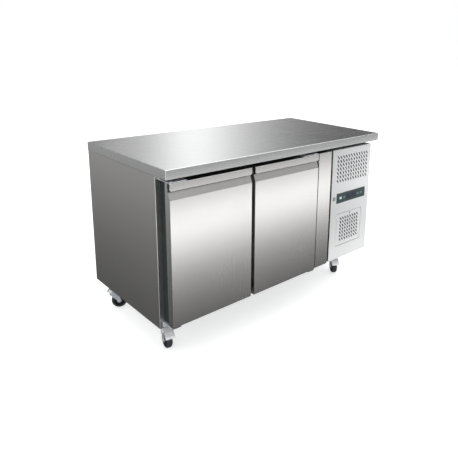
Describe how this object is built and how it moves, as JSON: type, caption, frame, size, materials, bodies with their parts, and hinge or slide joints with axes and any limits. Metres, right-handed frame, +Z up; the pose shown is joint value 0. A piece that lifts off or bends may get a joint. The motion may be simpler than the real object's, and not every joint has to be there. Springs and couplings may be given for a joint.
{
  "type": "undercounter refrigerator",
  "caption": "Stainless refrigerated counter with hinged doors, lipped grips, a vented machine bay with a controller behind a hinged panel, and swivel castors.",
  "frame": {"origin": "middle of the footprint on the floor, under the worktop's centre", "axes": "+X to the right seen from the front, +Y towards the back, +Z up; the doors face -Y"},
  "size_m": [1.36, 0.7, 0.85],
  "materials": {
    "brushed_top": "long brushed grain along the worktop",
    "brushed_steel": "brushed stainless sheet, vertical grain",
    "door_steel": "brushed stainless sheet, vertical grain",
    "light_panel": "light grey powder-coated or finely brushed panel",
    "galvanised": "galvanised sheet",
    "liner_steel": "bright stainless lining",
    "core_board": "moisture-resistant board",
    "foam": "rigid polyurethane foam",
    "frame_plastic": "dark breaker strip",
    "gasket_rubber": "soft magnetic gasket",
    "black_nylon": "moulded nylon",
    "fin_aluminium": "fin stock",
    "motor_black": "stoved black",
    "fan_plastic": "moulded fan wheel",
    "coated_wire": "plastic-coated steel wire",
    "zinc": "bright zinc plating",
    "pedal_zinc": "bright zinc plating",
    "compressor_paint": "black enamel",
    "copper": "copper tube",
    "controller_black": "dark moulded fascia",
    "key_grey": "soft keys",
    "filter_foam": "open-cell filter pad",
    "tyre_rubber": "dark rubber tread"
  },
  "bodies": {
    "cabinet": {"worktop_shell": "brushed_top", "worktop_core": "core_board", "side_panel_left": "brushed_steel", "side_panel_right": "brushed_steel", "back_panel": "galvanised", "base_panel": "galvanised", "partition_panel": "galvanised", "cabinet_insulation": "foam", "inner_liner": "liner_steel", "door_frame": "frame_plastic", "centre_post": "liner_steel", "front_strip": "brushed_steel", "evaporator_coil": "fin_aluminium", "evaporator_cover": "liner_steel", "fan_motors": "motor_black", "shelf_supports": "liner_steel", "hinge_brackets": "zinc", "rear_grille": "galvanised", "condenser_coil": "fin_aluminium", "condenser_shroud": "galvanised", "compressor": "compressor_paint", "refrigerant_pipes": "copper", "condensate_tray": "galvanised", "castor_stems": "zinc", "lock_striker": "zinc", "cable_gland": "black_nylon"},
    "door_left": {"door_left_skin": "door_steel", "door_left_inner": "liner_steel", "door_left_insulation": "foam", "door_left_gasket": "gasket_rubber", "door_left_fittings": "black_nylon"},
    "door_right": {"door_right_skin": "door_steel", "door_right_inner": "liner_steel", "door_right_insulation": "foam", "door_right_gasket": "gasket_rubber", "door_right_fittings": "black_nylon"},
    "service_panel": {"service_panel": "light_panel", "controller": "controller_black"},
    "filter_flap": {"filter_flap": "light_panel", "filter_mesh": "filter_foam"},
    "flap_latch": {"flap_latch": "zinc"},
    "panel_lock": {"panel_lock": "zinc"},
    "key_1": {"key_1": "key_grey"},
    "key_2": {"key_2": "key_grey"},
    "key_3": {"key_3": "key_grey"},
    "key_4": {"key_4": "key_grey"},
    "shelf_left": {"shelf_left": "coated_wire"},
    "shelf_right": {"shelf_right": "coated_wire"},
    "evaporator_fan": {"evaporator_fan": "fan_plastic"},
    "condenser_fan": {"condenser_fan": "fan_plastic"},
    "castor_front_left": {"castor_front_left_fork": "zinc"},
    "wheel_front_left": {"castor_front_left_wheel": "tyre_rubber"},
    "castor_front_right": {"castor_front_right_fork": "zinc"},
    "wheel_front_right": {"castor_front_right_wheel": "tyre_rubber"},
    "castor_rear_left": {"castor_rear_left_fork": "zinc"},
    "wheel_rear_left": {"castor_rear_left_wheel": "tyre_rubber"},
    "castor_rear_right": {"castor_rear_right_fork": "zinc"},
    "wheel_rear_right": {"castor_rear_right_wheel": "tyre_rubber"},
    "pedal_front_left": {"castor_front_left_pedal": "pedal_zinc"},
    "pedal_front_right": {"castor_front_right_pedal": "pedal_zinc"}
  },
  "joints": [
    {"name": "door_left_hinge", "type": "hinge", "parent": "cabinet", "child": "door_left", "pos_m": [-0.6515, -0.338, 0.485], "axis": [0, 0, -1], "range_deg": [0, 100]},
    {"name": "door_right_hinge", "type": "hinge", "parent": "cabinet", "child": "door_right", "pos_m": [0.1745, -0.338, 0.485], "axis": [0, 0, 1], "range_deg": [0, 100]},
    {"name": "service_panel_hinge", "type": "hinge", "parent": "cabinet", "child": "service_panel", "pos_m": [0.612, -0.28, 0.488], "axis": [0, 0, 1], "range_deg": [0, 100]},
    {"name": "flap_hinge", "type": "hinge", "parent": "service_panel", "child": "filter_flap", "pos_m": [0.4585, -0.344, 0.2604], "axis": [1, 0, 0], "range_deg": [0, 100]},
    {"name": "flap_latch_turn", "type": "hinge", "parent": "filter_flap", "child": "flap_latch", "pos_m": [0.461, -0.345, 0.4294], "axis": [0, 1, 0], "range_deg": [0, 90]},
    {"name": "panel_lock_turn", "type": "hinge", "parent": "service_panel", "child": "panel_lock", "pos_m": [0.323, -0.34, 0.532], "axis": [0, 1, 0], "range_deg": [0, 90]},
    {"name": "key_1_press", "type": "slide", "parent": "service_panel", "child": "key_1", "axis": [0, 1, 0], "range_m": [0, 0.0015], "stiffness_N_per_m": 400},
    {"name": "key_2_press", "type": "slide", "parent": "service_panel", "child": "key_2", "axis": [0, 1, 0], "range_m": [0, 0.0015], "stiffness_N_per_m": 400},
    {"name": "key_3_press", "type": "slide", "parent": "service_panel", "child": "key_3", "axis": [0, 1, 0], "range_m": [0, 0.0015], "stiffness_N_per_m": 400},
    {"name": "key_4_press", "type": "slide", "parent": "service_panel", "child": "key_4", "axis": [0, 1, 0], "range_m": [0, 0.0015], "stiffness_N_per_m": 400},
    {"name": "shelf_left_slide", "type": "slide", "parent": "cabinet", "child": "shelf_left", "axis": [0, -1, 0], "range_m": [0, 0.03]},
    {"name": "shelf_right_slide", "type": "slide", "parent": "cabinet", "child": "shelf_right", "axis": [0, -1, 0], "range_m": [0, 0.03]},
    {"name": "evaporator_fan_spin", "type": "hinge", "parent": "cabinet", "child": "evaporator_fan", "pos_m": [0.162, 0.02, 0.48], "axis": [1, 0, 0], "continuous": true},
    {"name": "condenser_fan_spin", "type": "hinge", "parent": "cabinet", "child": "condenser_fan", "pos_m": [0.45, -0.15, 0.31], "axis": [0, 1, 0], "continuous": true},
    {"name": "castor_front_left_swivel", "type": "hinge", "parent": "cabinet", "child": "castor_front_left", "pos_m": [-0.603, -0.17, 0.095], "axis": [0, 0, 1], "continuous": true},
    {"name": "wheel_front_left_roll", "type": "hinge", "parent": "castor_front_left", "child": "wheel_front_left", "pos_m": [-0.60968, -0.20436, 0.038], "axis": [0.9816, -0.1908, 0], "continuous": true},
    {"name": "pedal_front_left_press", "type": "hinge", "parent": "castor_front_left", "child": "pedal_front_left", "pos_m": [-0.60643, -0.18767, 0.085], "axis": [0.9816, -0.1908, 0], "range_deg": [0, 8]},
    {"name": "castor_front_right_swivel", "type": "hinge", "parent": "cabinet", "child": "castor_front_right", "pos_m": [0.543, -0.17, 0.095], "axis": [0, 0, 1], "continuous": true},
    {"name": "wheel_front_right_roll", "type": "hinge", "parent": "castor_front_right", "child": "wheel_front_right", "pos_m": [0.52497, -0.2, 0.038], "axis": [0.8572, -0.515, 0], "continuous": true},
    {"name": "pedal_front_right_press", "type": "hinge", "parent": "castor_front_right", "child": "pedal_front_right", "pos_m": [0.53373, -0.18543, 0.085], "axis": [0.8572, -0.515, 0], "range_deg": [0, 8]},
    {"name": "castor_rear_left_swivel", "type": "hinge", "parent": "cabinet", "child": "castor_rear_left", "pos_m": [-0.636, 0.275, 0.095], "axis": [0, 0, 1], "continuous": true},
    {"name": "wheel_rear_left_roll", "type": "hinge", "parent": "castor_rear_left", "child": "wheel_rear_left", "pos_m": [-0.60428, 0.26021, 0.038], "axis": [0.4226, 0.9063, 0], "continuous": true},
    {"name": "castor_rear_right_swivel", "type": "hinge", "parent": "cabinet", "child": "castor_rear_right", "pos_m": [0.56, 0.275, 0.095], "axis": [0, 0, 1], "continuous": true},
    {"name": "wheel_rear_right_roll", "type": "hinge", "parent": "castor_rear_right", "child": "wheel_rear_right", "pos_m": [0.58681, 0.2525, 0.038], "axis": [0.6428, 0.766, 0], "continuous": true}
  ]
}
